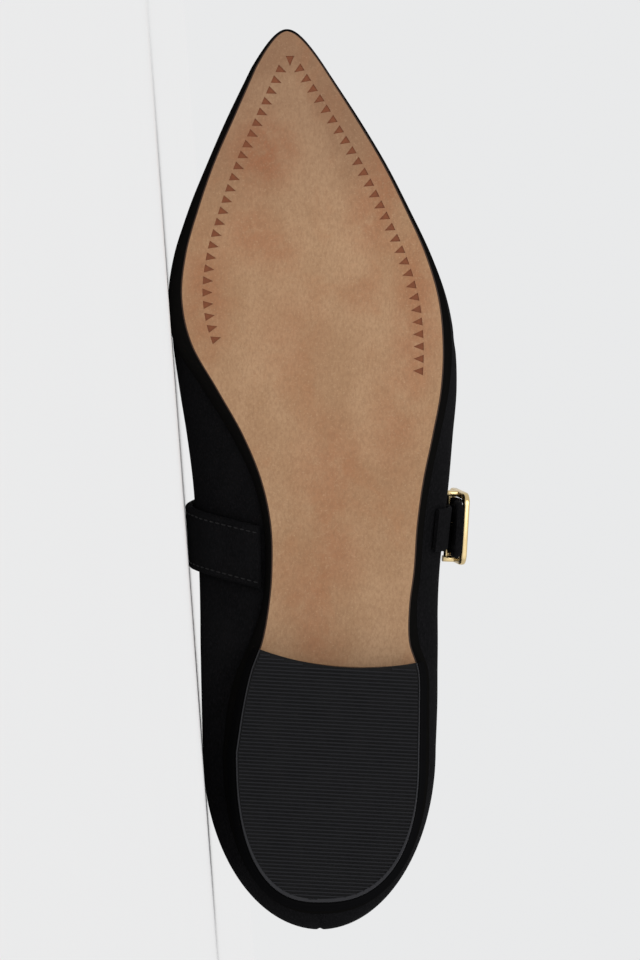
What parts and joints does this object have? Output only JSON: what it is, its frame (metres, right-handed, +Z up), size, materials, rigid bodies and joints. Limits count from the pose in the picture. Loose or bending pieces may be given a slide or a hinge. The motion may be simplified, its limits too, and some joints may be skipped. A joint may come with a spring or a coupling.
{
  "type": "mary jane flat shoe",
  "caption": "Left pointed-toe mary jane flat in black suede, tan sole, low heel and an instep strap with a side buckle, lying on its inner side.",
  "frame": {"origin": "on the floor, under the middle of the box of the shoe as it lies on its inner side", "axes": "+Y toward the toe, +Z up from the floor to the buckle side, +X from the sole toward the collar"},
  "size_m": [0.0826, 0.268, 0.0853],
  "materials": {
    "outsole": "satin",
    "heel": "satin",
    "heel_rubber": "matte",
    "sock": "matte",
    "suede": "matte",
    "gold": "gloss"
  },
  "bodies": {
    "root": {"outsole": "outsole", "heel_block": "heel", "heel_top_piece": "heel_rubber", "insole": "sock", "upper": "suede", "strap": "suede", "buckle_tab": "suede", "buckle_frame": "gold", "buckle_prong": "gold"}
  },
  "joints": []
}
